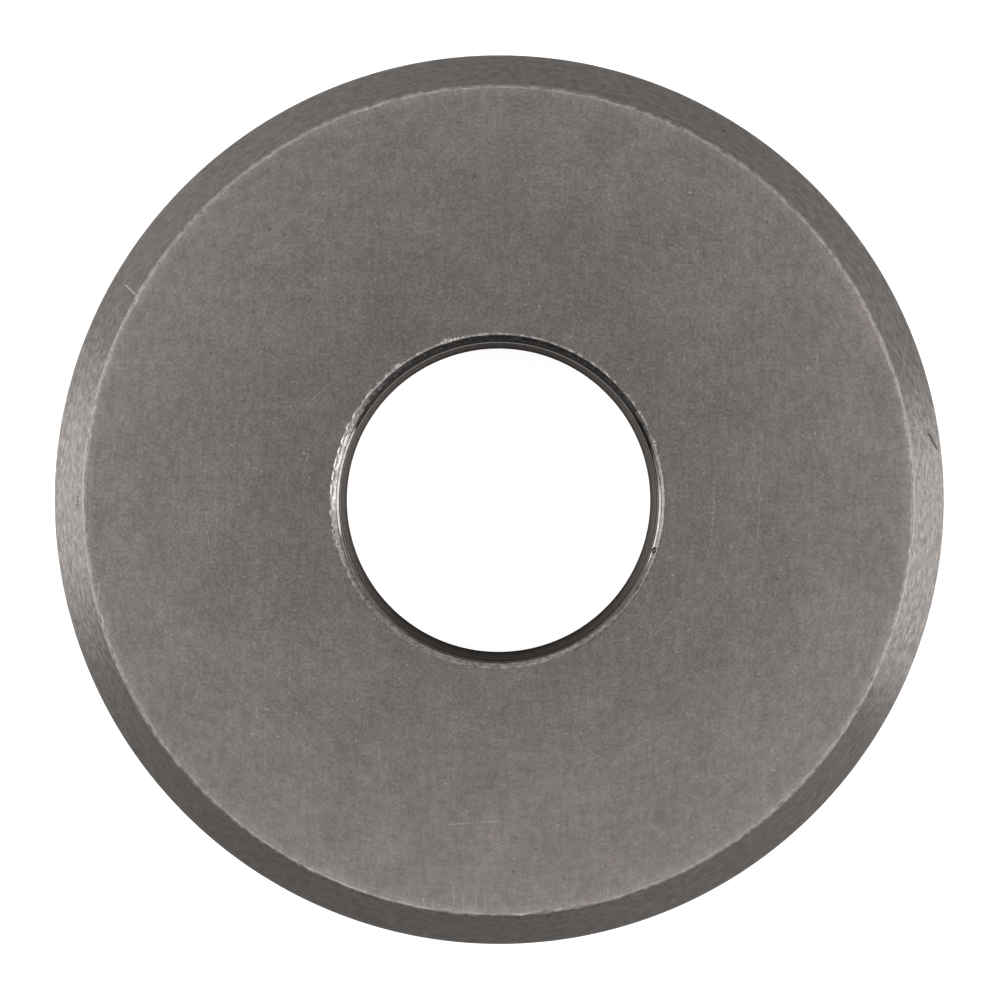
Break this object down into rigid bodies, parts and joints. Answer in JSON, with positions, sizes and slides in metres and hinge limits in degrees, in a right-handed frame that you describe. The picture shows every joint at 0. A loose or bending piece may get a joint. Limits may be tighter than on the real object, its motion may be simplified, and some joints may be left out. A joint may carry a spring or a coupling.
{
  "type": "annular cutting wheel",
  "caption": "Flat ring-shaped cutting wheel of ground cemented carbide, with a plain round bore and a rim bevelled from each side to a sharp edge.",
  "frame": {"origin": "centre of the cutting edge's circle, on the back face that the ring lies on", "axes": "+Z along the bore, out of the front face; +Y towards the side of the front bore mouth that is broken widest, so the picture's top is +Y and its right is +X"},
  "size_m": [0.022, 0.022, 0.002],
  "materials": {
    "ground_carbide": "fine-ground warm grey cemented carbide: matt lapped faces, bevels with grinding lines round the rim, a polished edge at the front mouth of the bore and a dark unground bore wall"
  },
  "bodies": {
    "root": {"cutting_ring": "ground_carbide"}
  },
  "joints": []
}
